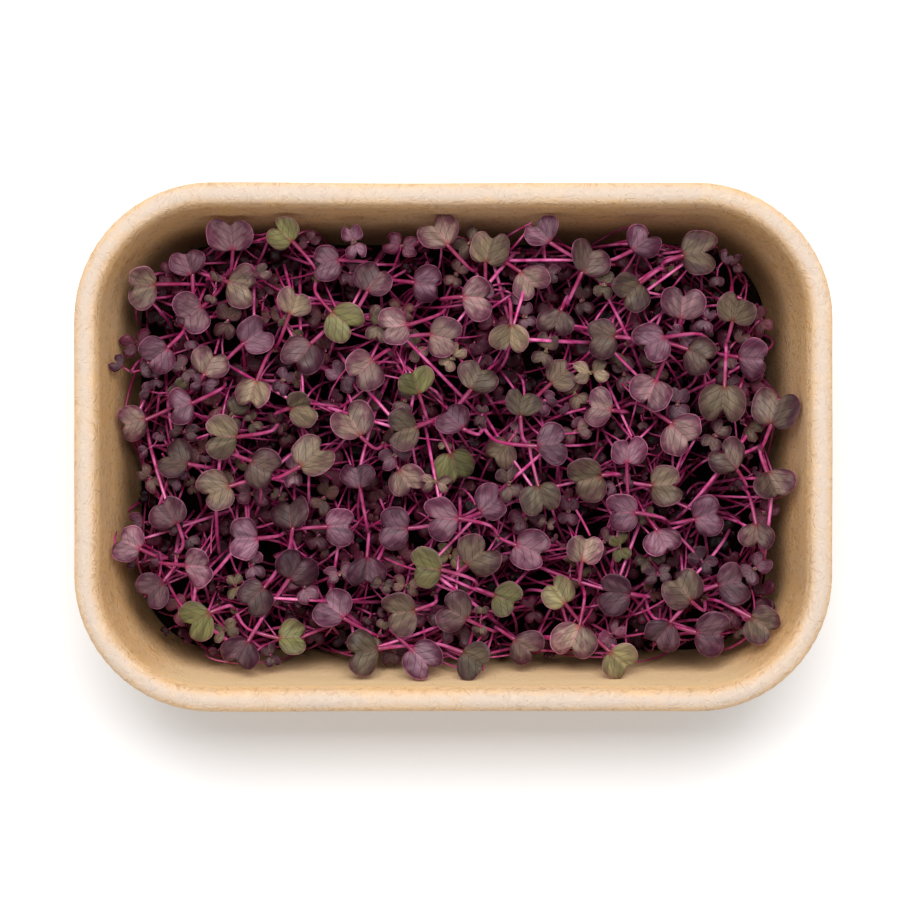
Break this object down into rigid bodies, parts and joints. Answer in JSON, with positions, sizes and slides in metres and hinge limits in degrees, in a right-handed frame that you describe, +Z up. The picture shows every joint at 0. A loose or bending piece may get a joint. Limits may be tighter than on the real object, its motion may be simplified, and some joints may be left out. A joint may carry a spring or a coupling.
{
  "type": "tray of red microgreens",
  "caption": "Rectangular kraft fibre tray with rounded corners and a rolled rim, planted with red microgreens growing in dark medium.",
  "frame": {"origin": "centre of the tray's underside, on the surface that the tray stands on", "axes": "+X along the tray's long side, +Y along its short side, +Z up out of the tray"},
  "size_m": [0.172, 0.12, 0.05],
  "materials": {
    "kraft_fibre": "matt, fine paper fibres",
    "coir": "rough and crumbly",
    "seedling": "satin leaves and glossy magenta stems"
  },
  "bodies": {
    "root": {"tray": "kraft_fibre", "growing_medium": "coir", "tuft_01": "seedling", "tuft_02": "seedling", "tuft_03": "seedling", "tuft_04": "seedling", "tuft_05": "seedling", "tuft_06": "seedling", "tuft_07": "seedling", "tuft_08": "seedling", "tuft_09": "seedling", "tuft_10": "seedling", "tuft_11": "seedling", "tuft_12": "seedling", "tuft_13": "seedling", "tuft_14": "seedling", "tuft_15": "seedling", "tuft_16": "seedling", "tuft_17": "seedling", "tuft_18": "seedling", "tuft_19": "seedling", "tuft_20": "seedling", "tuft_21": "seedling", "tuft_22": "seedling", "tuft_23": "seedling", "tuft_24": "seedling", "tuft_25": "seedling", "tuft_26": "seedling", "tuft_27": "seedling", "tuft_28": "seedling", "tuft_29": "seedling", "tuft_30": "seedling", "tuft_31": "seedling", "tuft_32": "seedling", "tuft_33": "seedling", "tuft_34": "seedling", "tuft_35": "seedling", "tuft_36": "seedling", "tuft_37": "seedling", "tuft_38": "seedling", "tuft_39": "seedling", "tuft_40": "seedling", "tuft_41": "seedling", "tuft_42": "seedling", "tuft_43": "seedling", "tuft_44": "seedling", "tuft_45": "seedling", "tuft_46": "seedling", "tuft_47": "seedling", "tuft_48": "seedling", "tuft_49": "seedling", "tuft_50": "seedling", "tuft_51": "seedling", "tuft_52": "seedling", "tuft_53": "seedling", "tuft_54": "seedling"}
  },
  "joints": []
}
